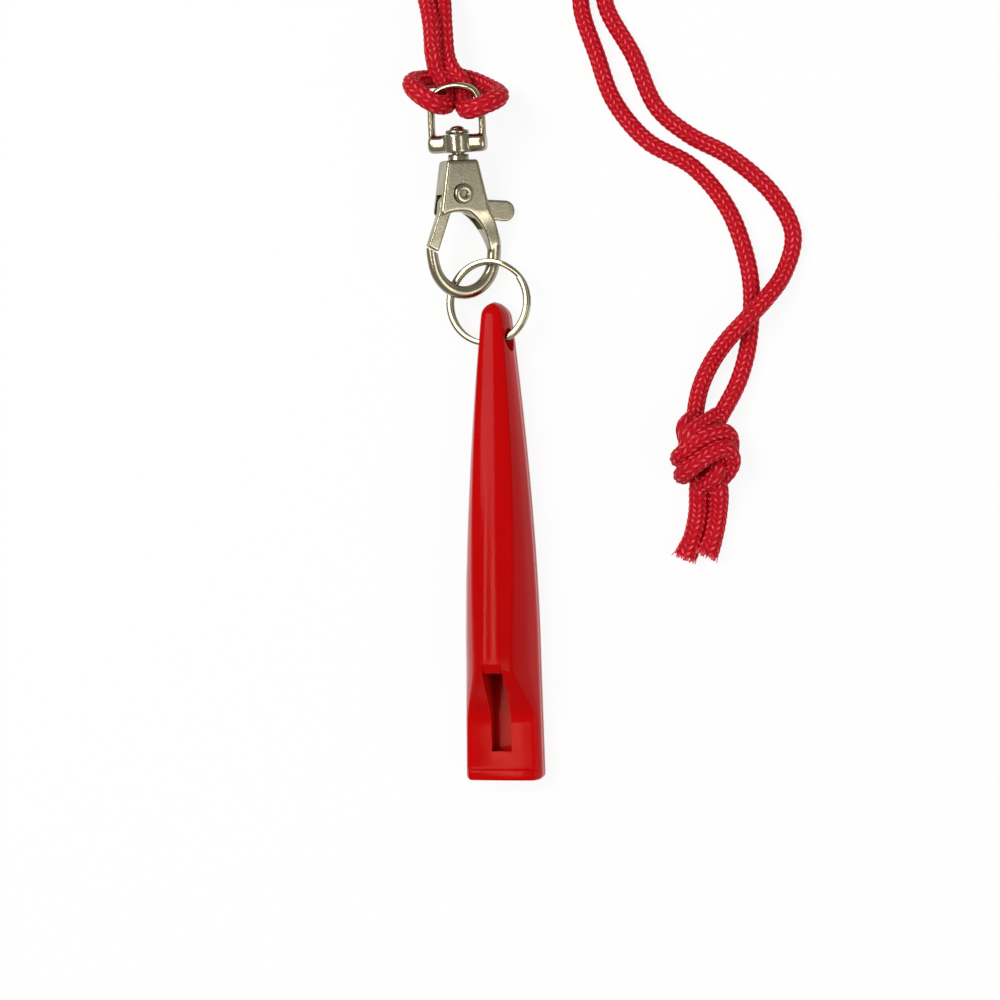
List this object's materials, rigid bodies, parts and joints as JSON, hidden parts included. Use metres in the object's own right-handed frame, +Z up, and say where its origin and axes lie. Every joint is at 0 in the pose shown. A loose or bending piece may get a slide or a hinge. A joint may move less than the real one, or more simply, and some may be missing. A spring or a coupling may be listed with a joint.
{
  "type": "dog whistle",
  "caption": "Slim wedge dog whistle with a slotted sound window, on a split ring, swivel trigger clasp and knotted neck cord.",
  "frame": {"origin": "on the whistle's flat underside, at half its length", "axes": "+Z up, out of the sound window; +Y along the whistle from the mouthpiece to the ring; +X to the right seen from above"},
  "size_m": [0.0727, 0.1855, 0.0128],
  "materials": {
    "whistle_plastic": "glossy red moulded plastic",
    "ring_nickel": "bright nickel plate",
    "clasp_nickel": "nickel plate over die casting",
    "spring_steel": "drawn spring wire",
    "cord_red": "braided synthetic cord",
    "tie_black": "soft strap"
  },
  "bodies": {
    "lanyard": {"swivel_loop": "clasp_nickel", "cord_hitch": "cord_red", "lead_cord_outer": "cord_red", "lead_cord_inner": "cord_red", "coil_cord_outer": "cord_red", "coil_cord_inner": "cord_red", "neck_cord_outer": "cord_red", "neck_cord_inner": "cord_red", "cord_knot": "cord_red", "cord_tail_left": "cord_red", "cord_tail_right": "cord_red", "coil_tie": "tie_black"},
    "clasp": {"clasp_body": "clasp_nickel", "gate_rivet": "clasp_nickel", "gate_spring": "spring_steel", "swivel_post": "clasp_nickel"},
    "gate": {"clasp_gate": "clasp_nickel"},
    "ring": {"split_ring": "ring_nickel"},
    "whistle": {"whistle_shell": "whistle_plastic", "whistle_base": "whistle_plastic", "windway_block": "whistle_plastic"}
  },
  "joints": [
    {"name": "swivel_spin", "type": "hinge", "parent": "lanyard", "child": "clasp", "pos_m": [-0.00479, 0.06611, 0.0076], "axis": [0, 0.9903, 0.1392], "continuous": true},
    {"name": "gate_hinge", "type": "hinge", "parent": "clasp", "child": "gate", "pos_m": [-0.00504, 0.05797, 0.00663], "axis": [0.5592, -0.1154, 0.821], "range_deg": [0, 25], "stiffness_Nm_per_rad": 0.0005, "springref_deg": -20.05, "deforming": ["gate_spring"]},
    {"name": "ring_turn", "type": "hinge", "parent": "clasp", "child": "ring", "pos_m": [-0.0009, 0.03995, 0.0041], "axis": [-0.1392, 0, 0.9903], "range_deg": [-20, 10]},
    {"name": "whistle_swing", "type": "hinge", "parent": "ring", "child": "whistle", "pos_m": [0, 0.0336, 0.0041], "axis": [1, 0, 0], "range_deg": [-18, 25]}
  ]
}
